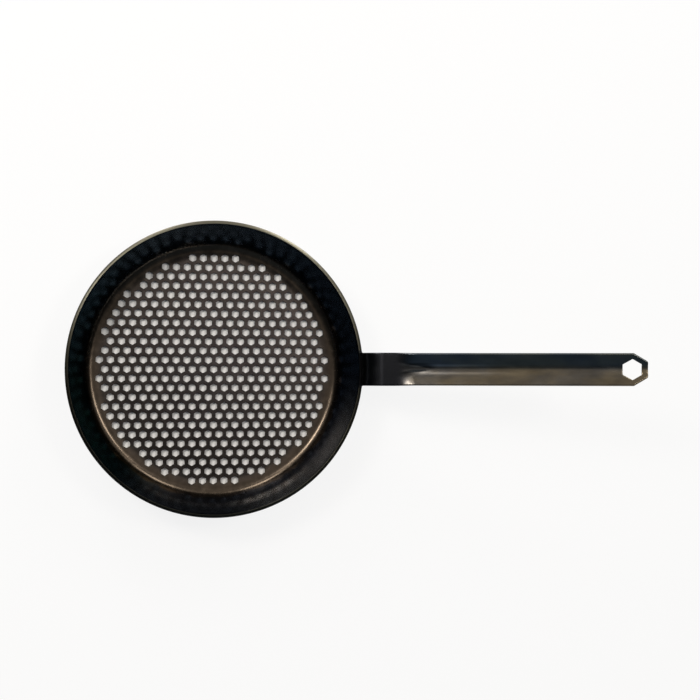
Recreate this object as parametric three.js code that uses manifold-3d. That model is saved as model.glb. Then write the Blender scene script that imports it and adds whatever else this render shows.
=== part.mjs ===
// Long-handled grill pan in carbon steel: a flared bowl with a floor cut through by
// hexagonal holes, and a flat steel handle folded into a shallow trough.
// Millimetres and degrees, +Z up, +X towards the tip of the handle. The origin lies on
// the surface that the pan stands on, halfway along its whole length.

import * as THREE from 'three';
import { mergeVertices } from 'three/addons/utils/BufferGeometryUtils.js';
import Module from 'manifold-3d';

const wasm = await Module();
wasm.setup();

// Steel
const sheet = 3; // thickness of floor, wall and handle

// Bowl
const mouthRadius = 124.3; // inner edge of the rim
const bowlHeight = 41; // from the table to the top of the rim
const rimFlare = 19.9; // how far the rim stands out past the flat of the floor
const kneeRadius = 7.5; // inside bend from floor to wall
const flangeWidth = 0.4; // flat metal that the wall keeps inside its bend

// Holes in the floor
const holePitch = 9.45; // centre to centre, in three directions
const holeAcrossFlats = 6.2;
const edgeLand = 0.25; // least metal between a hole and the edge of the floor plate

// Handle, measured along the middle of its sheet
const handleWidth = 28.6;
const rootStraight = 2.7; // stretch that carries on up the slope of the wall
const rootBendRadius = 20;
const handleRise = 15; // angle of the grip above the table
const gripLength = 225.7; // from the end of the bend to the tip
const foldAngle = 20; // tilt of each side of the trough
const foldRadius = 18; // round bottom of the trough
const troughStart = 10.3; // flat stretch between the bend and the trough, at its sides
const troughRunIn = 17; // length over which the trough reaches its full depth
const troughSink = 1; // how far its middle lies below the flat stretch
const frontLag = 14; // how much later the trough begins at its middle than at its sides
const frontReach = 8; // half width of the rounded beginning of the trough

// Tip of the handle
const tipFlat = 13.4; // width of the square end
const tipChamfer = 30; // angle of the cut corners to the handle's length
const hangHoleAcrossFlats = 16;
const hangHoleFromTip = 13.25; // hole's centre to the tip

// Welds
const seamHeight = 1.5; // weld between the rim and the foot of the handle
const seamCrown = 0.5; // how far that weld stands out underneath
const cornerLeg = 2; // fillet in the corner between the handle's edge and the rim
const cornerInset = 0.2; // the fillet is this much thinner than the sheet on each face
const cornerToe = 0.15; // height at which the fillet's toe ends

// Facets
const bowlSides = 96; // round the bowl
const kneeSteps = 6; // up the bend between floor and wall
const rootSteps = 8; // along the bend at the foot of the handle
const frontSteps = 18; // along the beginning of the trough
const foldSteps = 4; // from the middle of the trough to the end of its round bottom
const sideSteps = 4; // from there to the edge of the handle
const seamSteps = 8; // along the seam weld
const crownSteps = 4; // up the seam weld
const filletSteps = 6; // along each corner weld

const rad = THREE.MathUtils.degToRad;
const along = (angle) => new THREE.Vector2(Math.cos(angle), Math.sin(angle));
const flatRadius = mouthRadius - rimFlare;
const plateRadius = flatRadius - flangeWidth;

// The wall leans so that it runs straight from its bend to the rim, which is cut square
const kneeCentre = new THREE.Vector2(flatRadius, sheet + kneeRadius);
const rimInside = new THREE.Vector2(mouthRadius, bowlHeight);
const toRim = rimInside.clone().sub(kneeCentre);
const wallRun = Math.sqrt(toRim.lengthSq() - kneeRadius ** 2);
const wallAngle = toRim.angle() + Math.atan2(kneeRadius, wallRun);
const throughWall = along(wallAngle - Math.PI / 2);
const rimOutside = rimInside.clone().addScaledVector(throughWall, sheet);

// Finishes
const finish = (color, roughness) =>
  new THREE.MeshStandardMaterial({ color, roughness, metalness: 1 });
const wallSteel = finish(0x14171d, 0.42);
const floorSteel = finish(0x2b2322, 0.5);
const handleSteel = finish(0x2e2a26, 0.4);
const weldSteel = finish(0x24211f, 0.55);

const pan = new THREE.Group();

function addPiece(name, geometry, material) {
  const mesh = new THREE.Mesh(geometry, material);
  mesh.name = name;
  pan.add(mesh);
}

// Closed solid from rings of points: each ring runs round the section in the same way
function loft(rings) {
  const round = rings[0].length;
  const positions = rings.flat().flatMap((p) => [p.x, p.y, p.z]);
  const index = [];
  for (let i = 0; i + 1 < rings.length; i++) {
    for (let j = 0; j < round; j++) {
      const a = i * round + j;
      const b = i * round + ((j + 1) % round);
      index.push(a, a + round, b + round, a, b + round, b);
    }
  }
  const half = round / 2; // a ring is one face followed by the other, back to front
  const last = (rings.length - 1) * round;
  for (let j = 0; j + 1 < half; j++) {
    const k = round - 1 - j;
    index.push(j, k - 1, k, j, j + 1, k - 1);
    index.push(last + j, last + k, last + k - 1, last + j, last + k - 1, last + j + 1);
  }
  const geometry = new THREE.BufferGeometry();
  geometry.setAttribute('position', new THREE.Float32BufferAttribute(positions, 3));
  geometry.setIndex(index);
  return geometry;
}

// Solids to cut and join, and back
const mergeWithin = 1e-5;

function toManifold(geometry) {
  const bare = geometry.clone();
  bare.deleteAttribute('normal');
  bare.deleteAttribute('uv');
  const merged = mergeVertices(bare, mergeWithin);
  return new wasm.Manifold(
    new wasm.Mesh({
      numProp: 3,
      vertProperties: new Float32Array(merged.attributes.position.array),
      triVerts: new Uint32Array(merged.index.array),
    }),
  );
}

function fromManifold(solid) {
  const mesh = solid.getMesh();
  const geometry = new THREE.BufferGeometry();
  geometry.setAttribute('position', new THREE.BufferAttribute(mesh.vertProperties, 3));
  geometry.setIndex(new THREE.BufferAttribute(mesh.triVerts, 1));
  return geometry;
}

// Hexagon with two flats square to X and corners towards +Y and -Y
function hexagon(x, y, acrossFlats) {
  const reach = acrossFlats / Math.sqrt(3);
  return Array.from({ length: 6 }, (_, k) => {
    const turn = Math.PI / 6 + (k * Math.PI) / 3;
    return new THREE.Vector2(x + reach * Math.cos(turn), y + reach * Math.sin(turn));
  });
}

// Floor plate, with the same facets as the wall round it
function floorPlate() {
  const outline = Array.from({ length: bowlSides }, (_, k) => {
    const turn = (k / bowlSides) * 2 * Math.PI;
    return new THREE.Vector2(plateRadius * Math.sin(turn), -plateRadius * Math.cos(turn));
  });
  const shape = new THREE.Shape(outline);
  const reach = plateRadius * Math.cos(Math.PI / bowlSides) - edgeLand;
  const rowStep = (holePitch * Math.sqrt(3)) / 2;
  const rows = Math.ceil(plateRadius / rowStep);
  for (let row = -rows; row <= rows; row++) {
    for (let column = -2 * rows; column <= 2 * rows; column++) {
      const corners = hexagon((column + row / 2) * holePitch, row * rowStep, holeAcrossFlats);
      if (corners.every((corner) => corner.length() < reach)) {
        shape.holes.push(new THREE.Path(corners));
      }
    }
  }
  return new THREE.ExtrudeGeometry(shape, { depth: sheet, bevelEnabled: false });
}

// Wall: flange, bend and flared side up to the rim
function wallRing() {
  const profile = [new THREE.Vector2(plateRadius, 0)];
  const bend = (radius, share) => {
    const turn = share * wallAngle;
    const offset = new THREE.Vector2(Math.sin(turn), -Math.cos(turn)).multiplyScalar(radius);
    return offset.add(kneeCentre);
  };
  for (let k = 0; k <= kneeSteps; k++) profile.push(bend(kneeRadius + sheet, k / kneeSteps));
  profile.push(rimOutside.clone(), rimInside.clone());
  for (let k = kneeSteps; k >= 0; k--) profile.push(bend(kneeRadius, k / kneeSteps));
  profile.push(new THREE.Vector2(plateRadius, sheet));
  profile.push(profile[0].clone());
  return new THREE.LatheGeometry(profile, bowlSides).rotateX(Math.PI / 2);
}

// Side view of the handle: where the middle of its sheet runs, and its slope
const rootFoot = rimInside
  .clone()
  .addScaledVector(throughWall, sheet / 2)
  .addScaledVector(along(wallAngle), seamHeight);
const rise = rad(handleRise);
const bendLength = rootBendRadius * (wallAngle - rise);
const rootLength = rootStraight + bendLength;
const handleLength = rootLength + gripLength;
const bendStart = along(wallAngle).multiplyScalar(rootStraight).add(rootFoot);
const bendCentre = along(wallAngle - Math.PI / 2).multiplyScalar(rootBendRadius).add(bendStart);
const bendEnd = along(rise + Math.PI / 2).multiplyScalar(rootBendRadius).add(bendCentre);

function sideView(s) {
  if (s <= rootStraight) {
    return { slope: wallAngle, middle: along(wallAngle).multiplyScalar(s).add(rootFoot) };
  }
  if (s >= rootLength) {
    return { slope: rise, middle: along(rise).multiplyScalar(s - rootLength).add(bendEnd) };
  }
  const slope = wallAngle - (s - rootStraight) / rootBendRadius;
  const middle = along(slope + Math.PI / 2).multiplyScalar(rootBendRadius).add(bendCentre);
  return { slope, middle };
}

// Section of the trough: a round bottom and two straight sides
const fold = rad(foldAngle);
const foldReach = foldRadius * fold;

function troughSection(w) {
  const turn = Math.min(Math.abs(w) / foldRadius, fold);
  const side = Math.max(Math.abs(w) - foldReach, 0);
  const across = foldRadius * Math.sin(turn) + side * Math.cos(turn);
  const up = foldRadius * (1 - Math.cos(turn)) + side * Math.sin(turn);
  return { across: Math.sign(w) * across, up, tilt: Math.sign(w) * turn };
}

// Point of the handle: s along it, w across the flat blank, n off the middle of the sheet.
// Its foot, and the welds below with s less than 0, follow the round wall.
function handlePoint(s, w, n) {
  const lag = Math.max(1 - Math.abs(w) / frontReach, 0) ** 2 * frontLag;
  const from = rootLength + troughStart + lag;
  const share = THREE.MathUtils.clamp((s - from) / troughRunIn, 0, 1);
  const folded = share ** 2 * (2 - share); // grows ever faster, then ends in a soft crease
  const section = troughSection(w);
  const tilt = section.tilt * folded;
  const y = THREE.MathUtils.lerp(w, section.across, folded) - n * Math.sin(tilt);
  const off = (section.up - troughSink) * folded + n * Math.cos(tilt);
  const { slope, middle } = sideView(s);
  const reach = middle.x - off * Math.sin(slope);
  const flattened = THREE.MathUtils.smoothstep(s, 0, rootLength);
  const x = THREE.MathUtils.lerp(Math.sqrt(reach ** 2 - w ** 2), reach, flattened);
  return new THREE.Vector3(x, y, middle.y + off * Math.cos(slope));
}

function spread(from, to, steps) {
  return Array.from({ length: steps + 1 }, (_, k) => from + ((to - from) * k) / steps);
}

function handleSolid() {
  const half = handleWidth / 2;
  const roundReach = Math.min(foldReach, half / 2);
  const left = [
    ...spread(0, roundReach, foldSteps).slice(1),
    ...spread(roundReach, half, sideSteps).slice(1),
  ];
  const across = [...left.map((w) => -w).reverse(), 0, ...left];
  const front = rootLength + troughStart;
  const stations = [
    0,
    ...spread(rootStraight, rootLength, rootSteps),
    ...spread(front, front + frontLag + troughRunIn, frontSteps),
    handleLength,
  ];
  const rings = stations.map((s) => [
    ...across.map((w) => handlePoint(s, w, sheet / 2)),
    ...[...across].reverse().map((w) => handlePoint(s, w, -sheet / 2)),
  ]);
  return loft(rings);
}

// Cuts through the handle stand square to the grip
const tip = sideView(handleLength).middle;
function throughTip(corners) {
  const depth = handleWidth; // runs well past both faces
  const geometry = new THREE.ExtrudeGeometry(new THREE.Shape(corners), {
    depth,
    bevelEnabled: false,
  });
  return geometry.translate(0, 0, -depth / 2).rotateY(-rise).translate(tip.x, 0, tip.y);
}

function handle() {
  const half = handleWidth / 2;
  const flat = tipFlat / 2;
  const back = (half - flat) / Math.tan(rad(tipChamfer));
  const past = sheet; // the cutters run this far past the edges
  const slant = past * Math.tan(rad(tipChamfer));
  const cutCorner = (side) => {
    const corners = [
      new THREE.Vector2(past, side * (flat - slant)),
      new THREE.Vector2(past, side * (half + past)),
      new THREE.Vector2(-back - past / Math.tan(rad(tipChamfer)), side * (half + past)),
    ];
    return throughTip(side > 0 ? corners : corners.reverse());
  };
  const hangHole = throughTip(hexagon(-hangHoleFromTip, 0, hangHoleAcrossFlats));
  const cuts = [cutCorner(1), cutCorner(-1), hangHole].map(toManifold);
  return fromManifold(cuts.reduce((solid, cut) => solid.subtract(cut), toManifold(handleSolid())));
}

// Butt weld between the rim and the foot of the handle, crowned underneath
function seamWeld() {
  const places = spread(-seamHeight, 0, crownSteps);
  const crown = (s) => seamCrown * Math.sin((-Math.PI * s) / seamHeight);
  const rings = spread(-handleWidth / 2, handleWidth / 2, seamSteps).map((w) => [
    ...places.map((s) => handlePoint(s, w, -sheet / 2 - crown(s))),
    ...[...places].reverse().map((s) => handlePoint(s, w, sheet / 2)),
  ]);
  return loft(rings);
}

// Hollow fillet that fills the corner between the rim and one edge of the handle
function cornerWeld(side) {
  const leg = cornerLeg;
  const face = sheet / 2 - cornerInset;
  const rings = spread(0, leg, filletSteps).map((out) => {
    const height = Math.max(leg - Math.sqrt(leg ** 2 - (leg - out) ** 2), cornerToe);
    const w = side * (handleWidth / 2 + out);
    const places = [-seamHeight, height - seamHeight];
    return [
      ...places.map((s) => handlePoint(s, w, -face)),
      ...[...places].reverse().map((s) => handlePoint(s, w, face)),
    ];
  });
  return loft(side > 0 ? rings : rings.reverse());
}

addPiece('perforated_floor', floorPlate(), floorSteel);
addPiece('pan_wall', wallRing(), wallSteel);
addPiece('handle', handle(), handleSteel);
addPiece('handle_seam_weld', seamWeld(), weldSteel);
addPiece('corner_weld_left', cornerWeld(1), weldSteel);
addPiece('corner_weld_right', cornerWeld(-1), weldSteel);

// The tip is cut square, so its lower corner, in the middle of the trough, reaches furthest
const tipReach = tip.x + (sheet / 2 + troughSink) * Math.sin(rise);
pan.position.x = (rimOutside.x - tipReach) / 2;

export default pan;
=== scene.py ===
import math

import bpy
from mathutils import Matrix, Vector
from mathutils.geometry import delaunay_2d_cdt


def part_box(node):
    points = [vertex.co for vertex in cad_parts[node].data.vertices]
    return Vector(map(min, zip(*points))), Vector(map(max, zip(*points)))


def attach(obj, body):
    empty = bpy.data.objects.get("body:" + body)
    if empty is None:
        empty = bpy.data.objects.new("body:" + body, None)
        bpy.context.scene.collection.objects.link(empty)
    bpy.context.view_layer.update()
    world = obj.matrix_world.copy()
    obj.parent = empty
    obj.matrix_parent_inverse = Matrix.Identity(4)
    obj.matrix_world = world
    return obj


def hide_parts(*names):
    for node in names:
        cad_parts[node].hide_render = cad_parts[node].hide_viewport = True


# Long-handled grill pan in seasoned carbon steel, seen from almost straight above on white.
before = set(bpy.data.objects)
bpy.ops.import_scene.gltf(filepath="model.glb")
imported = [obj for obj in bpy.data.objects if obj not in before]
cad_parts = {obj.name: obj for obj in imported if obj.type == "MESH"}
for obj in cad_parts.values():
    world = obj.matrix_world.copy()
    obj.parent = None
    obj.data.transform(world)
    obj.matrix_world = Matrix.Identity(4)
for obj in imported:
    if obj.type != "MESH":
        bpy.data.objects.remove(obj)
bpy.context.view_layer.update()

mm = 0.001
scene = bpy.context.scene
scene.view_settings.view_transform = "Standard"

floorLow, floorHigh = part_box("perforated_floor")

sheet = floorHigh.z - floorLow.z  # one gauge of steel throughout
bowlCentre = (floorLow + floorHigh) / 2
plateRadius = (floorHigh.x - floorLow.x) / 2
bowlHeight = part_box("pan_wall")[1].z


# Small helpers
def addNode(tree, kind, inputs=None, **settings):
    made = tree.nodes.new(kind)
    for name, value in settings.items():
        setattr(made, name, value)
    for key, value in (inputs or {}).items():
        if isinstance(value, bpy.types.NodeSocket):
            tree.links.new(value, made.inputs[key])
        else:
            made.inputs[key].default_value = value
    return made


def mathNode(tree, operation, *values):
    return addNode(tree, "ShaderNodeMath", dict(enumerate(values)), operation=operation).outputs[0]


def vectorNode(tree, operation, *values):
    made = addNode(tree, "ShaderNodeVectorMath", dict(enumerate(values)), operation=operation)
    return made.outputs["Value" if operation in ("LENGTH", "DISTANCE", "DOT_PRODUCT") else "Vector"]


def scaledBy(tree, vector, factor):
    return addNode(tree, "ShaderNodeVectorMath", {0: vector, "Scale": factor}, operation="SCALE").outputs[0]


def mixNode(tree, factor, first, second):
    return addNode(tree, "ShaderNodeMix", {
        "Factor": factor, 6: first, 7: second,
    }, data_type="RGBA").outputs[2]


def noiseNode(tree, vector, size, detail, roughness=0.55):
    return addNode(tree, "ShaderNodeTexNoise", {
        "Vector": vector, "Scale": 1 / size, "Detail": detail, "Roughness": roughness,
    }).outputs["Fac"]


def remapNode(tree, value, low, high, fromLow, fromHigh, **settings):
    return addNode(tree, "ShaderNodeMapRange", {
        "Value": value, "From Min": fromLow, "From Max": fromHigh, "To Min": low, "To Max": high,
    }, **settings).outputs["Result"]


# The same with a soft start and end
def fadeNode(tree, value, low, high, fromLow, fromHigh):
    return remapNode(tree, value, low, high, fromLow, fromHigh, interpolation_type="SMOOTHSTEP")


# How far a value lies from a place
def offNode(tree, value, place):
    return mathNode(tree, "ABSOLUTE", mathNode(tree, "SUBTRACT", value, place))


def bumpNode(tree, height, depth, normal=None):
    inputs = {"Height": height, "Distance": depth, "Strength": 1.0}
    if normal is not None:
        inputs["Normal"] = normal
    return addNode(tree, "ShaderNodeBump", inputs).outputs["Normal"]


# Tones and a fourth value that change with a value between 0 and its reach
def toneRamp(tree, value, stops, reach):
    ramp = addNode(tree, "ShaderNodeValToRGB", {"Fac": mathNode(tree, "DIVIDE", value, reach)})
    elements = ramp.color_ramp.elements
    while len(elements) < len(stops):
        elements.new(0.5)  # its place is set below
    for element, (place, tone, fourth) in zip(elements, stops):
        element.position = place / reach
        element.color = (*tone, fourth)
    return ramp.outputs["Color"], ramp.outputs["Alpha"]


def shareRamp(tree, value, stops, reach):
    return toneRamp(tree, value, [(place, (0.0, 0.0, 0.0), share) for place, share in stops], reach)[1]


def newSteel(name):
    material = bpy.data.materials.new(name)
    material.use_nodes = True
    tree = material.node_tree
    shader = tree.nodes["Principled BSDF"]
    shader.inputs["Metallic"].default_value = 1.0
    return material, tree, shader


def linkSteel(tree, shader, tone, rough, normal):
    for name, socket in (("Base Color", tone), ("Roughness", rough), ("Normal", normal)):
        tree.links.new(socket, shader.inputs[name])


def addObject(name, data):
    made = bpy.data.objects.new(name, data)
    scene.collection.objects.link(made)
    return made


def addPiece(name, mesh, material, node):
    piece = addObject(name, mesh)
    if not mesh.materials:
        mesh.materials.append(material)
    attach(piece, "root")
    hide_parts(node)
    print(f"{name}: {len(mesh.vertices)} points, {len(mesh.polygons)} faces")


def meshFrom(name, points, faces, sharpAngle):
    mesh = bpy.data.meshes.new(name)
    mesh.from_pydata([tuple(p) for p in points], [], faces)
    mesh.update()
    mesh.shade_smooth()
    mesh.set_sharp_from_angle(angle=math.radians(sharpAngle))
    return mesh


def spread(start, end, steps):
    return [start + (end - start) * k / steps for k in range(steps + 1)]


def heading(angle):
    return Vector((math.cos(angle), math.sin(angle)))


# Directions of a hexagon's corners, with two of its sides along Y
hexagonTurns = [math.radians(30 + 60 * k) for k in range(6)]

fullTurn = 360.0
noiseRange = (0.3, 0.7)  # nearly all of a noise lies between these
patchesPerCloud = 3

# Camera: nearly overhead, a little to the left of the pan's middle
cameraView = {
    "place": (-199.1 * mm, -4.7 * mm, 1089.3 * mm),
    "aim": (6.8 * mm, 17.6 * mm, 0.5 * mm),
    "roll": 0.1,  # degrees
    "lens": 63.01,
    "sensor": 36.0,
    "clipEnd": 20.0,
}


def placeCamera(view):
    camera = addObject("overheadCamera", bpy.data.cameras.new("overheadCamera"))
    forward = (Vector(view["aim"]) - Vector(view["place"])).normalized()
    side = forward.cross(Vector((0, 1, 0))).normalized()
    turned = Matrix((side, side.cross(forward), -forward)).transposed()
    turned = turned @ Matrix.Rotation(math.radians(view["roll"]), 3, "Z")
    camera.matrix_world = Matrix.Translation(view["place"]) @ turned.to_4x4()
    camera.data.lens = view["lens"]
    camera.data.sensor_width = view["sensor"]
    camera.data.clip_end = view["clipEnd"]
    scene.camera = camera
    print("camera placed")


placeCamera(cameraView)

# Light: a softbox on either side behind the pan, a low one past each, a faint wide one on the left,
# and a dim cool room.
# Each one lies between two directions seen from the bowl, as azimuth and tilt from straight up.
warmWhite = (1.0, 0.96, 0.9)
softboxes = {
    "leftSoftbox": {
        "near": (145.0, 34.0), "far": (139.0, 45.0), "distance": 1.5, "width": 0.3,
        "radiance": 20.0,
    },
    "leftHalo": {
        "near": (122.0, 27.0), "far": (143.0, 50.0), "distance": 1.7, "width": 0.7,
        "radiance": 2.6,
    },
    "leftLowSoftbox": {
        "near": (114.0, 62.0), "far": (103.0, 84.0), "distance": 1.5, "width": 0.34,
        "radiance": 9.5,
    },
    "rightSoftbox": {
        "near": (14.0, 26.0), "far": (28.0, 38.0), "distance": 1.5, "width": 0.26,
        "radiance": 14.0,
    },
    "rightLowSoftbox": {
        "near": (52.0, 54.0), "far": (63.0, 72.0), "distance": 1.5, "width": 0.3,
        "radiance": 8.0,
    },
}
room = {
    "color": (0.8, 0.9, 1.0), "strength": 0.03,
    "glows": [  # direction, cosines between which it grows to full strength, and its colour
        {"towards": (90.0, 58.0), "edges": (0.43, 0.52), "strength": 0.5, "color": (1.0, 0.95, 0.88)},
        {"towards": (268.0, 55.0), "edges": (0.5, 1.0), "strength": 0.11, "color": (0.6, 0.8, 1.0)},
    ],
}


def skyward(azimuth, tilt):
    azimuth, tilt = math.radians(azimuth), math.radians(tilt)
    return Vector((
        math.cos(azimuth) * math.sin(tilt), math.sin(azimuth) * math.sin(tilt), math.cos(tilt),
    ))


def placeSoftbox(name, box):
    near, far = (skyward(*box[end]) * box["distance"] for end in ("near", "far"))
    facing = (near + far).normalized()
    length = (far - near).normalized()
    lamp = bpy.data.lights.new(name, "AREA")
    lamp.shape = "RECTANGLE"
    lamp.size = (far - near).length
    lamp.size_y = box["width"]
    lamp.energy = box["radiance"] * math.pi * lamp.size * lamp.size_y
    lamp.color = warmWhite
    holder = addObject(name, lamp)
    turned = Matrix((length, facing.cross(length), facing)).transposed().to_4x4()
    holder.matrix_world = Matrix.Translation(bowlCentre + (near + far) / 2) @ turned
    holder.visible_camera = False


def makeRoom(light):
    world = bpy.data.worlds.new("room")
    scene.world = world
    world.use_nodes = True
    tree = world.node_tree
    tree.nodes.clear()
    direction = addNode(tree, "ShaderNodeTexCoord").outputs["Generated"]
    total = scaledBy(tree, light["color"], light["strength"])
    for glow in light["glows"]:
        facing = vectorNode(tree, "DOT_PRODUCT", direction, skyward(*glow["towards"]))
        share = fadeNode(tree, facing, 0.0, glow["strength"], *glow["edges"])
        total = vectorNode(tree, "ADD", total, scaledBy(tree, glow["color"], share))
    seen = addNode(tree, "ShaderNodeLightPath").outputs["Is Camera Ray"]
    total = mixNode(tree, seen, total, (1, 1, 1, 1))  # past the table the camera sees white
    background = addNode(tree, "ShaderNodeBackground", {"Color": total, "Strength": 1.0})
    addNode(tree, "ShaderNodeOutputWorld", {"Surface": background.outputs[0]})


for name, box in softboxes.items():
    placeSoftbox(name, box)
makeRoom(room)
print("lamps placed")

# White table that the pan stands on
table = {
    "size": 12.0,
    "color": (0.94, 0.935, 0.93),
    "lifted": 0.85,  # share of the white that shadows don't darken, beside the pan
    "nearFade": (0.104, 0.125),  # under the pan the table is plain, and past this it is lifted
    "farFade": (0.45, 0.9),  # where it turns an even white
}


def makeTable(top):
    half = top["size"] / 2
    corners = [(-half, -half, 0), (half, -half, 0), (half, half, 0), (-half, half, 0)]
    mesh = bpy.data.meshes.new("whiteTable")
    mesh.from_pydata(corners, [], [(0, 1, 2, 3)])
    material = bpy.data.materials.new("whiteTable")
    material.use_nodes = True
    tree = material.node_tree
    tree.nodes.clear()
    coordinates = addNode(tree, "ShaderNodeTexCoord").outputs["Object"]
    away = vectorNode(tree, "DISTANCE", coordinates, (bowlCentre.x, bowlCentre.y, 0.0))
    nearLift = fadeNode(tree, away, 0.0, top["lifted"], *top["nearFade"])
    farLift = fadeNode(tree, away, 0.0, 1.0, *top["farFade"])
    rays = addNode(tree, "ShaderNodeLightPath").outputs
    seen = rays["Is Camera Ray"]
    for kind in ("Is Transmission Ray", "Is Glossy Ray"):
        seen = mathNode(tree, "MAXIMUM", seen, rays[kind])
    lift = mathNode(tree, "MULTIPLY", mathNode(tree, "MAXIMUM", nearLift, farLift), seen)
    paper = addNode(tree, "ShaderNodeBsdfDiffuse", {"Color": (*top["color"], 1)})
    white = addNode(tree, "ShaderNodeEmission", {"Color": (1, 1, 1, 1), "Strength": 1.0})
    mixed = addNode(tree, "ShaderNodeMixShader", {0: lift, 1: paper.outputs[0], 2: white.outputs[0]})
    addNode(tree, "ShaderNodeOutputMaterial", {"Surface": mixed.outputs[0]})
    mesh.materials.append(material)
    plane = addObject("whiteTable", mesh)
    print("table laid")


makeTable(table)

# Wall's slope, which the rim's finish and the handle's foot depend on
wallShape = {
    "mouthRadius": 124.3 * mm,
    "rimFlare": 19.9 * mm,
    "kneeRadius": 7.5 * mm,
}

kneeCentre = Vector((wallShape["mouthRadius"] - wallShape["rimFlare"], sheet + wallShape["kneeRadius"]))
rimInside = Vector((wallShape["mouthRadius"], bowlHeight))
toRim = rimInside - kneeCentre
wallRun = math.sqrt(toRim.length_squared - wallShape["kneeRadius"] ** 2)
wallAngle = math.atan2(toRim.y, toRim.x) + math.atan2(wallShape["kneeRadius"], wallRun)
throughWall = heading(wallAngle - math.pi / 2)
rimOutside = rimInside + throughWall * sheet  # the rim is cut square to the wall
rootStart = bowlCentre.x + rimOutside.x  # where the handle leaves the rim

# Finishes
bowlFinish = {
    "rings": [  # distance from the bowl's axis, and the steel's tone and roughness there
        (0.0, (0.078, 0.066, 0.067), 0.28),
        (96.0 * mm, (0.074, 0.062, 0.057), 0.26),
        (104.0 * mm, (0.084, 0.065, 0.050), 0.23),
        (110.5 * mm, (0.086, 0.068, 0.051), 0.26),
        (112.8 * mm, (0.019, 0.029, 0.048), 0.25),
        (130.0 * mm, (0.022, 0.036, 0.064), 0.20),
    ],
    "floorPaintedLight": (60.0, 90 * mm, 0.66, 1.28),  # painted light: the floor is lighter towards this direction, where the lamps stand; direction, reach, and the floor's tone at either end of it
    "paintedLightFade": (86 * mm, 96 * mm),  # the bend has none of that painted light
    "rimTone": (0.195, 0.184, 0.143),
    "rimRoughness": 0.3,
    "rimFade": 0.3 * mm,
    "rimPaintedHighlight": [  # direction round the bowl, and how bright the rim is there: a painted highlight, lighter towards the lamps and darker away from them
        (0.0, 0.42), (25.0, 0.65), (50.0, 0.9), (112.0, 1.0), (136.0, 0.24),
        (165.0, 0.25), (235.0, 0.17), (285.0, 0.25), (305.0, 0.34), (360.0, 0.38),
    ],
    "cloudSize": 22 * mm,
    "cloudShift": 1.5 * mm,  # how far the tint wanders in and out
    "cloudTone": (0.8, 1.22),
    "cloudDetail": 4.0,
    "patchDetail": 5.0,
    "bumpDetail": 2.0,
    "roughnessSpread": (0.85, 1.15),
    "paintedSheens": [  # direction round the bowl, then painted reflections there: the wall's tint at a low angle, and its extra shine
        (0.0, (0.60, 0.68, 0.80), 0.0),
        (60.0, (0.76, 0.90, 1.0), 0.05),
        (105.0, (0.86, 0.96, 1.0), 0.12),
        (150.0, (0.65, 0.80, 0.85), 0.0),
        (185.0, (0.45, 0.50, 0.40), 0.0),
        (225.0, (0.42, 0.46, 0.36), 0.0),
        (250.0, (0.80, 0.80, 0.78), 0.08),
        (275.0, (0.85, 0.85, 0.85), 0.12),
        (290.0, (1.0, 1.0, 1.0), 0.7),
        (302.0, (1.0, 1.0, 1.0), 0.9),
        (334.0, (1.0, 1.0, 1.0), 0.9),
        (350.0, (0.70, 0.75, 0.85), 0.15),
        (360.0, (0.60, 0.68, 0.80), 0.0),
    ],
    "paintedSheenRange": (114.8 * mm, 119.6 * mm),
    "paintedReflectionTone": (0.150, 0.166, 0.176),
    "paintedStreaks": [  # direction round the bowl, and how much of a pale, painted reflection streak shows on the wall's foot there
        (0.0, 0.0), (236.0, 0.0), (244.0, 0.16), (274.0, 0.1), (286.0, 1.0), (301.0, 1.0), (314.0, 0.0),
    ],
    "paintedStreak": (117.8 * mm, 2.6 * mm),  # how far out it lies, and half its width
    "paintedStreakPatchy": (0.35, 1.0, 0.38, 0.6),  # least and most of it that shows, over which patches
    "paintedStreakTone": (0.75, 0.75, 0.73),
    "grainSize": 0.35 * mm,
    "grainDepth": 0.006 * mm,
    "waveSize": 9 * mm,
    "waveDepth": 0.02 * mm,
    "ringSpacing": 0.5 * mm,  # faint marks left by spinning, round the bowl
    "ringDepth": 0.002 * mm,
    "dish": (98 * mm, 106 * mm),  # the floor's margin turns up a little before its bend
    "dishRise": 0.8 * mm,
}


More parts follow.
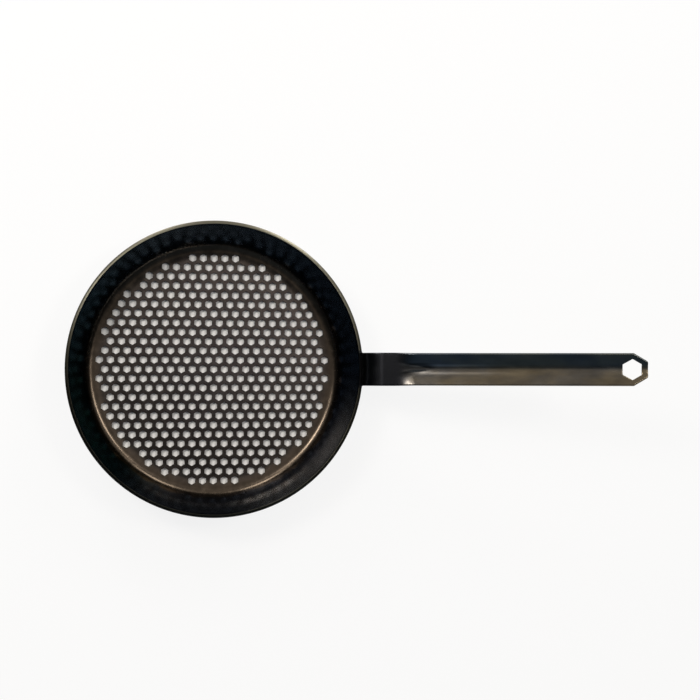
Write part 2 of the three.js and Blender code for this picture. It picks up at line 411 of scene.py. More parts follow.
def bowlSteel(finish):
    material, tree, shader = newSteel("seasonedBowlSteel")
    coordinates = addNode(tree, "ShaderNodeTexCoord").outputs["Object"]
    centred = vectorNode(tree, "SUBTRACT", coordinates, (bowlCentre.x, bowlCentre.y, 0.0))
    flat = vectorNode(tree, "MULTIPLY", centred, (1, 1, 0))
    radius = vectorNode(tree, "LENGTH", flat)
    cloud = noiseNode(tree, centred, finish["cloudSize"], finish["cloudDetail"])
    wander = remapNode(tree, cloud, -finish["cloudShift"], finish["cloudShift"], *noiseRange)
    lastRing = finish["rings"][-1][0]
    tone, rough = toneRamp(tree, mathNode(tree, "ADD", radius, wander), finish["rings"], lastRing)
    patches = noiseNode(tree, centred, finish["cloudSize"] / patchesPerCloud, finish["patchDetail"])
    tone = scaledBy(tree, tone, remapNode(tree, patches, *finish["cloudTone"], *noiseRange))
    spreadOut = remapNode(tree, patches, *finish["roughnessSpread"], *noiseRange)
    rough = mathNode(tree, "MULTIPLY", rough, spreadOut)

    # Painted light: the floor's tone grows lighter towards the lamps' side and darker away from it
    direction, reach, low, high = finish["floorPaintedLight"]
    along = vectorNode(tree, "DOT_PRODUCT", centred, heading(math.radians(direction)).to_3d())
    paintedLight = mathNode(tree, "SUBTRACT", remapNode(tree, along, low, high, -reach, reach), 1.0)
    onFloor = remapNode(tree, radius, 1.0, 0.0, *finish["paintedLightFade"])
    tone = scaledBy(tree, tone, mathNode(tree, "MULTIPLY_ADD", paintedLight, onFloor, 1.0))

    spot = addNode(tree, "ShaderNodeSeparateXYZ", {0: centred}).outputs
    turn = mathNode(tree, "DIVIDE", mathNode(tree, "ARCTAN2", spot["Y"], spot["X"]), math.tau)
    degrees = mathNode(tree, "MULTIPLY", mathNode(tree, "FRACT", turn), fullTurn)
    # Painted reflections: the wall's low-angle tint and a shine towards a pale tone change round the bowl
    paintedTint, paintedShine = toneRamp(tree, degrees, finish["paintedSheens"], fullTurn)
    tree.links.new(paintedTint, shader.inputs["Specular Tint"])
    paintedShine = mathNode(tree, "MULTIPLY", paintedShine, remapNode(tree, radius, 0.0, 1.0, *finish["paintedSheenRange"]))
    tone = mixNode(tree, paintedShine, tone, (*finish["paintedReflectionTone"], 1))
    # Painted reflection: a pale, patchy streak along the wall's foot on one side of the bowl
    place, width = finish["paintedStreak"]
    streakShare = fadeNode(tree, offNode(tree, radius, place), 1.0, 0.0, 0.0, width)
    streakShare = mathNode(tree, "MULTIPLY", streakShare, shareRamp(tree, degrees, finish["paintedStreaks"], fullTurn))
    streakShare = mathNode(tree, "MULTIPLY", streakShare, remapNode(tree, patches, *finish["paintedStreakPatchy"]))
    tone = mixNode(tree, streakShare, tone, (*finish["paintedStreakTone"], 1))

    # How far up the slope of the wall a point lies, less the rim's own place: 0 on the rim's face
    outwards = mathNode(tree, "SUBTRACT", radius, rimInside.x)
    upwards = mathNode(tree, "SUBTRACT", spot["Z"], rimInside.y)
    upSlope = mathNode(tree, "ADD", mathNode(tree, "MULTIPLY", outwards, math.cos(wallAngle)),
                       mathNode(tree, "MULTIPLY", upwards, math.sin(wallAngle)))
    onRim = remapNode(tree, upSlope, 0.0, 1.0, -2 * finish["rimFade"], -finish["rimFade"])
    # Painted highlight: the rim's face is lighter on the lamps' side and darker on the far side
    paintedHighlight = shareRamp(tree, degrees, finish["rimPaintedHighlight"], fullTurn)
    tone = mixNode(tree, onRim, tone, scaledBy(tree, finish["rimTone"], paintedHighlight))
    rough = addNode(tree, "ShaderNodeMix", {"Factor": onRim, 2: rough, 3: finish["rimRoughness"]}).outputs[0]

    normal = bumpNode(tree, fadeNode(tree, radius, 0.0, 1.0, *finish["dish"]), finish["dishRise"])
    spun = addNode(tree, "ShaderNodeCombineXYZ", {
        "X": mathNode(tree, "DIVIDE", radius, finish["ringSpacing"]),
    }).outputs[0]
    for vector, size, depth in (
        (centred, finish["waveSize"], finish["waveDepth"]),
        (spun, 1.0, finish["ringDepth"]),
        (centred, finish["grainSize"], finish["grainDepth"]),
    ):
        normal = bumpNode(tree, noiseNode(tree, vector, size, finish["bumpDetail"]), depth, normal)
    linkSteel(tree, shader, tone, rough, normal)
    return material


bowlMaterial = bowlSteel(bowlFinish)

# Handle and welds: bronze steel with painted light: a bluer upper side as a painted cool reflection, a
# blue-black root as painted shade, and a painted highlight along the fold
handleFinish = {
    "name": "seasonedHandleSteel",
    "tone": (0.150, 0.124, 0.086),
    "blueTone": (0.106, 0.100, 0.094),
    "blueRange": (0.42, 0.62),  # the clouds' range over which the tone turns to that
    "paintedCoolTint": (0.88, 1.12, 1.48),  # painted reflection: the side towards +Y is tinted bluer, as a cool reflection
    "upperSide": (-1 * mm, 4 * mm),
    "rootShadeTone": (0.032, 0.033, 0.038),
    "root": (26 * mm, 42 * mm),  # distance past the rim over which the root's painted shade, a blue-black tone, fades
    "paintedRootHighlight": (12.8 * mm, 2.2 * mm, 0.8),  # a painted highlight, a pale line across the root: its place, reach and brightness
    "paintedSpots": [  # painted shade and a painted highlight where the trough begins: place past the rim and off the middle, reach, and tone
        ((43 * mm, 2.5 * mm), (18 * mm, 3.9 * mm), 0.3),
        ((43 * mm, -1.4 * mm), (16 * mm, 2.2 * mm), 2.4),
    ],
    "paintedSpotCore": 0.4,  # share of a painted spot's reach that has its full tone
    "fold": (3.2 * mm, 1.8 * mm),  # where a painted highlight runs along the trough's bend, and how wide
    "foldPaintedHighlight": 1.7,
    "foldRun": (33 * mm, 46 * mm, 126 * mm),  # distance past the rim where that begins, peaks and fades out
    "cloudSize": 26 * mm,
    "cloudStretch": 3.0,
    "cloudTone": (0.85, 1.18),
    "cloudDetail": 4.0,
    "bumpDetail": 2.0,
    "roughness": (0.20, 0.27),
    "grainSize": 0.3 * mm,
    "grainStretch": 8.0,
    "grainDepth": 0.0024 * mm,
    "grazing": 0.5,  # how bright its shine is at a low angle
}
weldFinish = {
    **handleFinish,
    "name": "seasonedWeldSteel",
    "tone": (0.050, 0.045, 0.040),
    "foldPaintedHighlight": 0.0,
    "cloudSize": 3 * mm,
    "cloudStretch": 1.0,
    "roughness": (0.34, 0.46),
    "grainStretch": 1.0,
    "grainDepth": 0.008 * mm,
}


def stripSteel(finish):
    material, tree, shader = newSteel(finish["name"])
    coordinates = addNode(tree, "ShaderNodeTexCoord").outputs["Object"]
    long = vectorNode(tree, "DIVIDE", coordinates, (finish["cloudStretch"], 1.0, 1.0))
    cloud = noiseNode(tree, long, finish["cloudSize"], finish["cloudDetail"])
    blue = remapNode(tree, cloud, 0.0, 1.0, *finish["blueRange"])
    tone = mixNode(tree, blue, (*finish["tone"], 1), (*finish["blueTone"], 1))
    patches = noiseNode(tree, long, finish["cloudSize"] / patchesPerCloud, finish["cloudDetail"])
    tone = scaledBy(tree, tone, remapNode(tree, patches, *finish["cloudTone"], *noiseRange))
    spot = addNode(tree, "ShaderNodeSeparateXYZ", {0: coordinates}).outputs
    x, y = spot["X"], spot["Y"]
    # Painted reflection: the side towards +Y turns bluer
    upper = remapNode(tree, y, 0.0, 1.0, *finish["upperSide"])
    tone = mixNode(tree, upper, tone, vectorNode(tree, "MULTIPLY", tone, finish["paintedCoolTint"]))

    # Painted highlight: a bright line along the trough's bend, fading out along the handle
    place, width = finish["fold"]
    begins, peaks, ends = (rootStart + reach for reach in finish["foldRun"])
    offFold = offNode(tree, mathNode(tree, "ABSOLUTE", y), place)
    paintedHighlight = fadeNode(tree, offFold, finish["foldPaintedHighlight"], 0.0, 0.0, width)
    paintedHighlight = mathNode(tree, "MULTIPLY", paintedHighlight, remapNode(tree, x, 0.0, 1.0, begins, peaks))
    paintedHighlight = mathNode(tree, "MULTIPLY", paintedHighlight, remapNode(tree, x, 1.0, 0.0, peaks, ends))
    tone = scaledBy(tree, tone, mathNode(tree, "ADD", paintedHighlight, 1.0))
    # Painted shade: the root is blue-black, fading into the strip's tone
    pastRoot = fadeNode(tree, x, 0.0, 1.0, *(rootStart + reach for reach in finish["root"]))
    tone = mixNode(tree, pastRoot, (*finish["rootShadeTone"], 1), tone)
    # Painted highlight: a pale line across the root
    place, width, pale = finish["paintedRootHighlight"]
    line = fadeNode(tree, offNode(tree, x, rootStart + place), 1 + pale, 1.0, 0.0, width)
    tone = scaledBy(tree, tone, line)
    # Painted shade and painted highlight: a darker spot and a lighter spot where the trough begins
    for (along, aside), (length, width), share in finish["paintedSpots"]:
        offSpot = vectorNode(tree, "SUBTRACT", coordinates, (rootStart + along, aside, 0.0))
        offSpot = vectorNode(tree, "MULTIPLY", offSpot, (1 / length, 1 / width, 0.0))
        offSpot = vectorNode(tree, "LENGTH", offSpot)
        tone = scaledBy(tree, tone, fadeNode(tree, offSpot, share, 1.0, finish["paintedSpotCore"], 1.0))

    rough = remapNode(tree, patches, *finish["roughness"], *noiseRange)
    shader.inputs["Specular Tint"].default_value = (*[finish["grazing"]] * 3, 1)
    drawn = vectorNode(tree, "DIVIDE", coordinates, (finish["grainStretch"], 1.0, 1.0))
    grain = noiseNode(tree, drawn, finish["grainSize"], finish["bumpDetail"])
    linkSteel(tree, shader, tone, rough, bumpNode(tree, grain, finish["grainDepth"]))
    return material


handleMaterial = stripSteel(handleFinish)
weldMaterial = stripSteel(weldFinish)
print("steels mixed")

# Floor: a disc cut through by hexagons, each with a slightly rolled edge
cadBowlSides = 96  # facets of the solid's edge, which the holes keep clear of
holeMargin = 0.25 * mm
mergeDistance = 0.002 * mm
rollMiddle = 0.3  # the middle of a hole's rolled edge lies this share of its size in from the corner
floorPlate = {
    "Plate Radius": plateRadius,
    "Sheet": sheet,
    "Hole Pitch": 9.45 * mm,
    "Hole Across Flats": 6.2 * mm,
    "Corner Radius": 0.45 * mm,
    "Hole Reach": plateRadius * math.cos(math.pi / cadBowlSides) - holeMargin,
    "Top Roll": 0.2 * mm,
    "Bottom Break": 0.1 * mm,
}
floorCounts = {"Rows": 13, "Sides": 192}


def geometryNode(tree, kind, inputs=None, **settings):
    return addNode(tree, "GeometryNode" + kind, inputs, **settings).outputs[0]


def joined(tree, *parts):
    join = addNode(tree, "GeometryNodeJoinGeometry")
    for part in parts:
        tree.links.new(part, join.inputs[0])
    return join.outputs[0]


def raised(tree, geometry, height, scale=(1, 1, 1)):
    lift = addNode(tree, "ShaderNodeCombineXYZ", {"Z": height}).outputs[0]
    return geometryNode(tree, "Transform", {
        "Geometry": geometry, "Scale": scale, "Translation": lift,
    })


def floorTree(sizes, counts):
    tree = bpy.data.node_groups.new("hexagonPerforations", "GeometryNodeTree")
    sockets = tree.interface
    for name in sizes:
        sockets.new_socket(name, in_out="INPUT", socket_type="NodeSocketFloat")
    for name in counts:
        sockets.new_socket(name, in_out="INPUT", socket_type="NodeSocketInt")
    sockets.new_socket("Centre", in_out="INPUT", socket_type="NodeSocketVector")
    sockets.new_socket("Steel", in_out="INPUT", socket_type="NodeSocketMaterial")
    sockets.new_socket("Geometry", in_out="OUTPUT", socket_type="NodeSocketGeometry")
    given = addNode(tree, "NodeGroupInput").outputs
    acrossFlats, thickness = given["Hole Across Flats"], given["Sheet"]
    reach = mathNode(tree, "DIVIDE", acrossFlats, math.sqrt(3))

    # Centres in rows along X, each row shifted half a pitch from the next
    columns = mathNode(tree, "MULTIPLY_ADD", given["Rows"], 4, 1)
    lines = mathNode(tree, "MULTIPLY_ADD", given["Rows"], 2, 1)
    index = geometryNode(tree, "InputIndex")
    halfOn = mathNode(tree, "ADD", index, 0.5)  # clear of rounding
    row = mathNode(tree, "FLOOR", mathNode(tree, "DIVIDE", halfOn, columns))
    column = mathNode(tree, "SUBTRACT", index, mathNode(tree, "MULTIPLY", row, columns))
    row = mathNode(tree, "SUBTRACT", row, given["Rows"])
    column = mathNode(tree, "SUBTRACT", column, mathNode(tree, "MULTIPLY", given["Rows"], 2))
    along = mathNode(tree, "MULTIPLY_ADD", row, 0.5, column)
    centre = addNode(tree, "ShaderNodeCombineXYZ", {
        "X": mathNode(tree, "MULTIPLY", along, given["Hole Pitch"]),
        "Y": mathNode(tree, "MULTIPLY", mathNode(tree, "MULTIPLY", row, math.sqrt(3) / 2),
                      given["Hole Pitch"]),
    }).outputs[0]
    lattice = geometryNode(tree, "Points", {
        "Count": mathNode(tree, "MULTIPLY", columns, lines), "Position": centre,
    })

    # Only holes whose six corners lie within reach of the plate's middle are cut
    furthest = 0.0
    for turn in hexagonTurns:
        arm = scaledBy(tree, heading(turn).to_3d(), reach)
        corner = vectorNode(tree, "ADD", geometryNode(tree, "InputPosition"), arm)
        furthest = mathNode(tree, "MAXIMUM", furthest, vectorNode(tree, "LENGTH", corner))
    outside = addNode(tree, "FunctionNodeCompare", {0: furthest, 1: given["Hole Reach"]},
                      operation="GREATER_THAN").outputs[0]
    lattice = geometryNode(tree, "DeleteGeometry", {
        "Geometry": lattice, "Selection": outside,
    }, domain="POINT")

    # One hexagon with softened corners, drawn down into the sheet as the lining of a hole
    ring = geometryNode(tree, "CurvePrimitiveCircle", {"Resolution": 6, "Radius": reach})
    ring = geometryNode(tree, "Transform", {
        "Geometry": ring, "Rotation": (0, 0, hexagonTurns[0]),
    })
    ring = geometryNode(tree, "FilletCurve", {
        "Curve": ring, "Count": 1, "Radius": given["Corner Radius"], "Limit Radius": True,
    }, mode="POLY")
    half = mathNode(tree, "DIVIDE", acrossFlats, 2)
    roll, edgeBreak = given["Top Roll"], given["Bottom Break"]
    rolled = mathNode(tree, "MULTIPLY", roll, rollMiddle)
    levels = [  # how far out of the hole's side, and how far down, each step of the lining lies
        (roll, 0.0),
        (rolled, rolled),
        (0.0, roll),
        (0.0, mathNode(tree, "SUBTRACT", thickness, edgeBreak)),
        (edgeBreak, thickness),
    ]
    scales = [mathNode(tree, "DIVIDE", mathNode(tree, "ADD", half, out), half) for out, down in levels]
    lining = geometryNode(tree, "CurveToMesh", {"Curve": ring})
    widened = addNode(tree, "ShaderNodeCombineXYZ", {"X": scales[0], "Y": scales[0], "Z": 1.0}).outputs[0]
    lining = raised(tree, lining, thickness, widened)
    selected = True
    for k in range(1, len(levels)):
        grow = mathNode(tree, "SUBTRACT", mathNode(tree, "DIVIDE", scales[k], scales[k - 1]), 1)
        sink = mathNode(tree, "SUBTRACT", levels[k - 1][1], levels[k][1])
        spot = addNode(tree, "ShaderNodeSeparateXYZ", {0: geometryNode(tree, "InputPosition")}).outputs
        step = addNode(tree, "ShaderNodeCombineXYZ", {
            "X": mathNode(tree, "MULTIPLY", spot["X"], grow),
            "Y": mathNode(tree, "MULTIPLY", spot["Y"], grow),
            "Z": sink,
        }).outputs[0]
        drawn = addNode(tree, "GeometryNodeExtrudeMesh", {
            "Mesh": lining, "Selection": selected, "Offset": step, "Offset Scale": 1.0,
        }, mode="EDGES")
        lining, selected = drawn.outputs["Mesh"], drawn.outputs["Top"]
    lining = geometryNode(tree, "SetShadeSmooth", {"Geometry": lining, "Shade Smooth": True})
    linings = geometryNode(tree, "InstanceOnPoints", {"Points": lattice, "Instance": lining})
    linings = geometryNode(tree, "RealizeInstances", {"Geometry": linings})

    # Edge of the disc, then its two faces filled between that edge and the linings
    edge = addNode(tree, "GeometryNodeMeshCylinder", {
        "Vertices": given["Sides"], "Radius": given["Plate Radius"], "Depth": thickness,
    }, fill_type="NONE").outputs["Mesh"]
    middle = mathNode(tree, "DIVIDE", thickness, 2)
    sides = joined(tree, linings, raised(tree, edge, middle))
    faces = []
    for operation in ("GREATER_THAN", "LESS_THAN"):
        height = addNode(tree, "ShaderNodeSeparateXYZ", {0: geometryNode(tree, "InputPosition")}).outputs["Z"]
        onSide = addNode(tree, "FunctionNodeCompare", {0: height, 1: middle}, operation=operation).outputs[0]
        bordering = addNode(tree, "FunctionNodeCompare", {
            2: geometryNode(tree, "InputMeshEdgeNeighbors"), 3: 1,
        }, data_type="INT", operation="EQUAL").outputs[0]
        loops = geometryNode(tree, "MeshToCurve", {
            "Mesh": sides,
            "Selection": addNode(tree, "FunctionNodeBooleanMath", {0: onSide, 1: bordering}).outputs[0],
        })
        face = geometryNode(tree, "FillCurve", {"Curve": loops}, mode="TRIANGLES")
        if operation == "GREATER_THAN":
            face = raised(tree, face, thickness)
        else:
            face = geometryNode(tree, "FlipFaces", {"Mesh": face})
        faces.append(geometryNode(tree, "SetShadeSmooth", {
            "Geometry": face, "Shade Smooth": False,
        }))
    plate = geometryNode(tree, "MergeByDistance", {
        "Geometry": joined(tree, sides, *faces), "Distance": mergeDistance,
    })
    plate = geometryNode(tree, "Transform", {"Geometry": plate, "Translation": given["Centre"]})
    plate = geometryNode(tree, "RealizeInstances", {"Geometry": plate})
    plate = geometryNode(tree, "SetMaterial", {"Geometry": plate, "Material": given["Steel"]})
    addNode(tree, "NodeGroupOutput", {"Geometry": plate})
    return tree


def makeFloor(sizes, counts):
    tree = floorTree(sizes, counts)
    seed = addObject("floorSeed", bpy.data.meshes.new("floorSeed"))
    modifier = seed.modifiers.new("perforations", "NODES")
    modifier.node_group = tree
    values = {**sizes, **counts, "Centre": (bowlCentre.x, bowlCentre.y, floorLow.z), "Steel": bowlMaterial}
    for item in tree.interface.items_tree:
        if item.in_out == "INPUT":
            modifier[item.identifier] = values[item.name]
    evaluated = seed.evaluated_get(bpy.context.evaluated_depsgraph_get())
    mesh = bpy.data.meshes.new_from_object(evaluated)
    mesh.name = "grillFloor"
    bpy.data.objects.remove(seed)
    addPiece("grillFloor", mesh, bowlMaterial, "perforated_floor")


makeFloor(floorPlate, floorCounts)

# Wall: a narrow flat flange, the bend, the flared side and a rim with softened edges
flaredWall = {
    **wallShape,
    "kneeSteps": 20,
    "sideSteps": 10,
    "rimSoftening": 0.3 * mm,
    "rimSteps": 4,
    "weldedHalf": 15 * mm,  # half width of the rim that the handle and its welds cover
    "weldedSoftening": 0.02 * mm,
    "sharpAngle": 50.0,
}


# Small round between two straight sides
def softenCorner(before, corner, after, radius, steps):
    toBefore, toAfter = (before - corner).normalized(), (after - corner).normalized()
    halfAngle = toBefore.angle(toAfter) / 2
    centre = corner + (toBefore + toAfter).normalized() * (radius / math.sin(halfAngle))
    start = corner + toBefore * (radius / math.tan(halfAngle))
    end = corner + toAfter * (radius / math.tan(halfAngle))
    first, last = start - centre, end - centre
    turn = first.angle_signed(last)
    return [centre + Matrix.Rotation(-turn * k / steps, 2) @ first for k in range(steps + 1)]


def wallProfile(shape, softening):
    def bend(radius, share):
        turn = share * wallAngle
        return kneeCentre + Vector((math.sin(turn), -math.cos(turn))) * radius

    outer, inner = shape["kneeRadius"] + sheet, shape["kneeRadius"]
    shares = spread(0, 1, shape["kneeSteps"])
    soft = (softening, shape["rimSteps"])
    profile = [Vector((plateRadius, 0))] + [bend(outer, share) for share in shares]
    outerTop = softenCorner(bend(outer, 1), rimOutside, rimInside, *soft)
    innerTop = softenCorner(rimOutside, rimInside, bend(inner, 1), *soft)
    side = spread(0, 1, shape["sideSteps"])[1:-1]
    profile += [bend(outer, 1).lerp(outerTop[0], share) for share in side]
    profile += outerTop + innerTop
    profile += [innerTop[-1].lerp(bend(inner, 1), share) for share in side]
    profile += [bend(inner, share) for share in reversed(shares)]
    profile += [Vector((plateRadius, sheet))]
    return profile


def turnRing(name, profileAt, sides, sharpAngle):
    points, faces = [], []
    for k in range(sides):
        turn = 2 * math.pi * k / sides
        profile = profileAt(turn)
        count = len(profile)
        for p in profile:
            points.append((
                bowlCentre.x + p.x * math.cos(turn), bowlCentre.y + p.x * math.sin(turn), p.y,
            ))
    for k in range(sides):
        for j in range(count):
            a, b = k * count + j, k * count + (j + 1) % count
            c, d = ((k + 1) % sides) * count + (j + 1) % count, ((k + 1) % sides) * count + j
            faces.append((a, d, c, b))
    return meshFrom(name, points, faces, sharpAngle)


# The rim stays sharp under the weld, so that wall and handle run on as one surface
def rimProfile(turn):
    besideHandle = abs((turn + math.pi) % (2 * math.pi) - math.pi) * rimInside.x
    welded = besideHandle <= flaredWall["weldedHalf"]
    return wallProfile(flaredWall, flaredWall["weldedSoftening" if welded else "rimSoftening"])


wallMesh = turnRing("flaredWall", rimProfile, floorCounts["Sides"], flaredWall["sharpAngle"])
addPiece("flaredWall", wallMesh, bowlMaterial, "pan_wall")

# Handle: a strip that runs on from the wall, bends outwards and folds into a trough
grip = {
    "width": 28.6 * mm,
    "seamHeight": 1.5 * mm,  # between the rim and the handle's foot
    "rootStraight": 2.7 * mm,
    "rootBendRadius": 20 * mm,
    "rise": 15.0,  # degrees, as are the other angles
    "gripLength": 225.7 * mm,
    "foldAngle": 20.0,
    "foldRadius": 18 * mm,
    "troughStart": 10.3 * mm,  # past the bend, at the strip's edges
    "troughRunIn": 17 * mm,
    "troughSink": 1 * mm,
    "frontLag": 14 * mm,  # how much later it starts in the middle
    "frontReach": 8 * mm,  # how far from the middle that goes
    "tipFlat": 13.4 * mm,
    "tipChamfer": 30.0,
    "tipRounding": 1.6 * mm,
    "hangHoleAcrossFlats": 16 * mm,
    "hangHoleFromTip": 13.25 * mm,
    "hangHoleRounding": 0.8 * mm,
    "edgeSoftening": 0.7 * mm,
    "edgeSteps": 4,
    "rootRows": 26,
    "neckRows": 6,
    "troughRows": 50,
    "gripRows": 90,
    "foldLines": 8,
    "sideLines": 8,
    "insideMargin": 0.5 * mm,  # least distance between the rows' points and the outline's
    "sharpAngle": 60.0,
}
halfWidth = grip["width"] / 2
rise = math.radians(grip["rise"])
fold = math.radians(grip["foldAngle"])
rootFoot = (rimInside + rimOutside) / 2 + heading(wallAngle) * grip["seamHeight"]
bendLength = grip["rootBendRadius"] * (wallAngle - rise)
rootLength = grip["rootStraight"] + bendLength
handleLength = rootLength + grip["gripLength"]

bendStart = rootFoot + heading(wallAngle) * grip["rootStraight"]
bendCentre = bendStart + heading(wallAngle - math.pi / 2) * grip["rootBendRadius"]
bendEnd = bendCentre + heading(rise + math.pi / 2) * grip["rootBendRadius"]


def sideView(s):
    if s <= grip["rootStraight"]:
        return wallAngle, rootFoot + heading(wallAngle) * s
    if s >= rootLength:
        return rise, bendEnd + heading(rise) * (s - rootLength)
    slope = wallAngle - (s - grip["rootStraight"]) / grip["rootBendRadius"]
    return slope, bendCentre + heading(slope + math.pi / 2) * grip["rootBendRadius"]


def smoothStep(x, low, high):
    t = min(max((x - low) / (high - low), 0), 1)
    return t * t * (3 - 2 * t)


def troughSection(w):
    radius = grip["foldRadius"]
    turn = min(abs(w) / radius, fold)
    side = max(abs(w) - radius * fold, 0)
    across = radius * math.sin(turn) + side * math.cos(turn)
    up = radius * (1 - math.cos(turn)) + side * math.sin(turn)
    return math.copysign(across, w), up, math.copysign(turn, w)


# Point of the handle: s along it, w across the flat blank, n off the middle of its sheet.
# Its foot, and the welds below with s less than 0, follow the round wall.
def handlePoint(s, w, n):
    lag = max(1 - abs(w) / grip["frontReach"], 0) ** 2 * grip["frontLag"]
    start = rootLength + grip["troughStart"] + lag
    share = min(max((s - start) / grip["troughRunIn"], 0), 1)
    folded = share ** 2 * (2 - share)  # grows ever faster, then ends in a soft crease
    across, up, turn = troughSection(w)
    tilt = turn * folded
    y = w + (across - w) * folded - n * math.sin(tilt)
    off = (up - grip["troughSink"]) * folded + n * math.cos(tilt)
    slope, middle = sideView(s)
    reach = middle.x - off * math.sin(slope)
    bowed = math.sqrt(reach ** 2 - w ** 2)
    flattened = smoothStep(s, 0, rootLength)
    x = bowed + (reach - bowed) * flattened
    return Vector((bowlCentre.x + x, y, middle.y + off * math.cos(slope)))


# Place across the flat blank that ends up at y once the trough is folded
def unfold(y):
    radius = grip["foldRadius"]
    if abs(y) <= radius * math.sin(fold):
        return math.copysign(radius * math.asin(abs(y) / radius), y)
    return math.copysign(radius * fold + (abs(y) - radius * math.sin(fold)) / math.cos(fold), y)


# Closed outline with rounded corners, and points at even steps along its straight sides
def roundedLoop(corners, rounding, steps=4, spacing=1.5 * mm):
    loop = []
    for k, corner in enumerate(corners):
        before, after = corners[k - 1], corners[(k + 1) % len(corners)]
        if rounding[k] > 0:
            arc = softenCorner(before, corner, after, rounding[k], steps)
        else:
            arc = [corner]
        if loop:
            loop += evenPoints(loop[-1], arc[0], spacing)
        loop += arc
    return loop + evenPoints(loop[-1], loop[0], spacing)


def evenPoints(start, end, spacing):
    steps = max(round((end - start).length / spacing), 1)
    return [start.lerp(end, k / steps) for k in range(1, steps)]


# Outline of the flat blank and its hanging hole, as points (s, w)
def blankLoops():
    flatHalf = grip["tipFlat"] / 2
    foldedHalf = troughSection(halfWidth)[0]
    back = (foldedHalf - flatHalf) / math.tan(math.radians(grip["tipChamfer"]))
    length = handleLength
    tip = grip["tipRounding"]
    outline = roundedLoop([
        Vector((0, -foldedHalf)), Vector((length - back, -foldedHalf)), Vector((length, -flatHalf)),
        Vector((length, flatHalf)), Vector((length - back, foldedHalf)), Vector((0, foldedHalf)),
    ], [0, tip, tip, tip, tip, 0])
    reach = grip["hangHoleAcrossFlats"] / math.sqrt(3)
    middle = Vector((length - grip["hangHoleFromTip"], 0))
    hole = roundedLoop([
        middle + heading(turn) * reach for turn in hexagonTurns
    ], [grip["hangHoleRounding"]] * len(hexagonTurns))
    return [[Vector((p.x, unfold(p.y))) for p in loop] for loop in (outline, hole)]


# The loop moved inwards. The cut at the foot stays where it is, because it stands on the weld.
def insetLoop(loop, inset, leastCosine=0.5, atFoot=1e-9):
    moved = []
    for k, point in enumerate(loop):
        before, after = loop[k - 1], loop[(k + 1) % len(loop)]
        first, second = (point - before).normalized(), (after - point).normalized()
        normal = Vector((-(first.y + second.y), first.x + second.x)).normalized()
        step = normal * (inset / max(normal.dot(Vector((-first.y, first.x))), leastCosine))
        if point.x < atFoot:
            step.x = 0
        moved.append(point + step)
    return moved


# Whether a point lies within a loop, from how often a line beside it crosses the loop
def within(point, loop):
    crossings = 0
    for a, b in zip(loop, loop[1:] + loop[:1]):
        if (a.y > point.y) != (b.y > point.y):
            crossings += point.x < a.x + (b.x - a.x) * (point.y - a.y) / (b.y - a.y)
    return crossings % 2 == 1


# Triangles of the flat blank between its outline and its hole, through the inside points that
# keep clear of both
def flatTriangles(loops, inside, margin, insideOnly=1, tolerance=1e-7):
    hole = loops[1]
    inside = [p for p in inside if not within(p, hole)]
    flat = [p for loop in loops for p in loop]
    edges, start = [], 0
    for loop in loops:
        edges += [(start + k, start + (k + 1) % len(loop)) for k in range(len(loop))]
        start += len(loop)
    rim = list(flat)
    flat += [p for p in inside if all((p - q).length > margin for q in rim)]
    points, _, triangles, _, _, _ = delaunay_2d_cdt(flat, edges, [], insideOnly, tolerance)
    triangles = [t for t in triangles if not within(sum((points[k] for k in t), Vector((0, 0))) / 3, hole)]
    return points, triangles


# Points inside the blank, closer together where the strip bends
def blankRows():
    front = rootLength + grip["troughStart"]
    runOut = front + grip["frontLag"] + grip["troughRunIn"]
    ends = (0, rootLength, front, runOut, handleLength)
    counts = (grip[part] for part in ("rootRows", "neckRows", "troughRows", "gripRows"))
    stations = [s for start, end, count in zip(ends, ends[1:], counts) for s in spread(start, end, count)[1:]]
    reachFold = grip["foldRadius"] * fold
    lines = spread(0, reachFold, grip["foldLines"]) + spread(reachFold, halfWidth, grip["sideLines"])[1:-1]
    return [Vector((s, w)) for s in stations for w in [-w for w in lines[1:]] + lines]


def makeHandle():
    outline, hole = blankLoops()
    soft = grip["edgeSoftening"]
    quarter = [
        (soft * (1 - math.sin(turn)), sheet / 2 - soft * (1 - math.cos(turn)))
        for turn in spread(0, math.pi / 2, grip["edgeSteps"])
    ]
    profile = quarter + [(inset, -n) for inset, n in reversed(quarter)]
    rings = [insetLoop(outline, inset) + insetLoop(hole, -inset) for inset, _ in profile]
    faceLoops = [insetLoop(outline, soft), insetLoop(hole, -soft)]
    flat, triangles = flatTriangles(faceLoops, blankRows(), grip["insideMargin"])

    points = [handlePoint(p.x, p.y, sheet / 2) for p in flat]
    points += [handlePoint(p.x, p.y, -sheet / 2) for p in flat]
    under = len(flat)
    faces = [tuple(t) for t in triangles]
    faces += [tuple(k + under for k in reversed(t)) for t in triangles]
    rimCount = len(outline) + len(hole)
    columns = [list(range(rimCount))]
    for ring, (_, n) in list(zip(rings, profile))[1:-1]:
        columns.append(list(range(len(points), len(points) + rimCount)))
        points += [handlePoint(p.x, p.y, n) for p in ring]
    columns.append([k + under for k in range(rimCount)])
    for upper, lower in zip(columns, columns[1:]):
        for start, count in ((0, len(outline)), (len(outline), len(hole))):
            for k in range(count):
                a, b = start + k, start + (k + 1) % count
                side = (upper[a], lower[a], lower[b], upper[b])
                faces.append(side if start == 0 else side[::-1])
    return meshFrom("troughHandle", points, faces, grip["sharpAngle"])


addPiece("troughHandle", makeHandle(), handleMaterial, "handle")

# Welds: a rippled seam between rim and handle, ground flush inside, and two corner fillets
weldSharpAngle = 40.0
seam = {
    "steps": 120,
    "crownSteps": 10,
    "crown": 0.5 * mm,
    "ripple": 1.7 * mm,
    "rippleShare": 0.14,
    "rippleBow": 1.1,
}
cornerFillet = {
    "leg": 2 * mm,
    "inset": 0.2 * mm,
    "toe": 0.15 * mm,
    "steps": 14,
    "levels": 6,
    "dipPower": 4,  # the top of the fillet dips only near its two faces
}


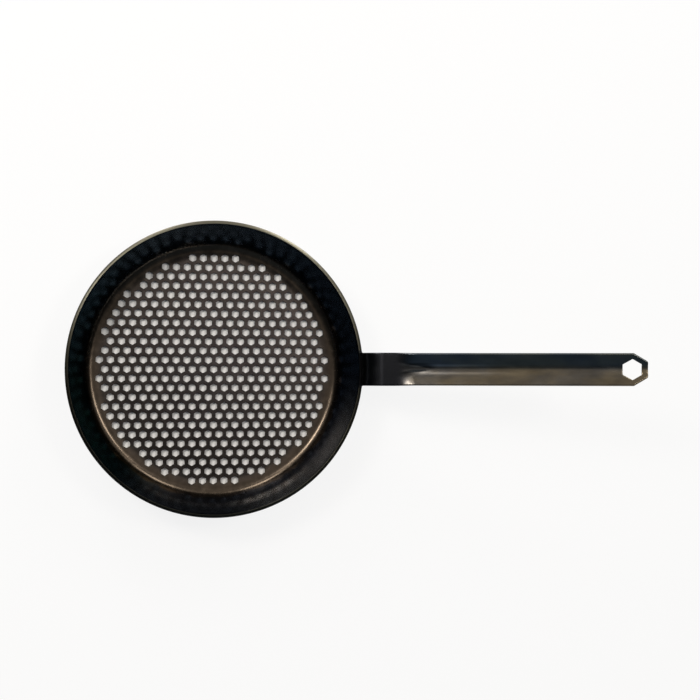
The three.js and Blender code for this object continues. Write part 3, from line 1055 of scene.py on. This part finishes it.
def loft(name, rings, sharpAngle):
    count = len(rings[0])
    points = [p for ring in rings for p in ring]
    faces = [
        (i * count + j, (i + 1) * count + j, (i + 1) * count + (j + 1) % count, i * count + (j + 1) % count)
        for i in range(len(rings) - 1) for j in range(count)
    ]
    faces.append(tuple(range(count)))
    faces.append(tuple(reversed(range(len(points) - count, len(points)))))
    return meshFrom(name, points, faces, sharpAngle)


def makeSeamWeld():
    places = spread(-grip["seamHeight"], 0, seam["crownSteps"])

    def crown(s, w):
        across = -s / grip["seamHeight"]
        lag = seam["rippleBow"] * (2 * across - 1) ** 2
        wave = math.cos(2 * math.pi * w / seam["ripple"] + lag)
        return seam["crown"] * math.sin(math.pi * across) * (1 - seam["rippleShare"] * (1 + wave))

    rings = [
        [handlePoint(s, w, -sheet / 2 - crown(s, w)) for s in places]
        + [handlePoint(s, w, sheet / 2) for s in reversed(places)]
        for w in spread(-halfWidth, halfWidth, seam["steps"])
    ]
    return loft("seamWeld", rings, weldSharpAngle)


def makeCornerWeld(name, side):
    leg, inset, power = cornerFillet["leg"], cornerFillet["inset"], cornerFillet["dipPower"]
    face = sheet / 2 - inset
    rings = []
    for out in spread(0, leg, cornerFillet["steps"]):
        height = max(leg - math.sqrt(leg ** 2 - (leg - out) ** 2), cornerFillet["toe"])
        w = side * (halfWidth + out)
        base, top = -grip["seamHeight"], height - grip["seamHeight"]
        arch = spread(-face, face, cornerFillet["levels"])
        dip = [inset * (n / face) ** power * height / leg for n in arch]
        rings.append(
            [handlePoint(base, w, -face)]
            + [handlePoint(top - down, w, n) for n, down in zip(arch, dip)]
            + [handlePoint(base, w, face)]
        )
    return loft(name, rings if side > 0 else rings[::-1], weldSharpAngle)


addPiece("seamWeld", makeSeamWeld(), weldMaterial, "handle_seam_weld")
for name, side, node in (
    ("cornerWeldLeft", 1, "corner_weld_left"),
    ("cornerWeldRight", -1, "corner_weld_right"),
):
    addPiece(name, makeCornerWeld(name, side), weldMaterial, node)
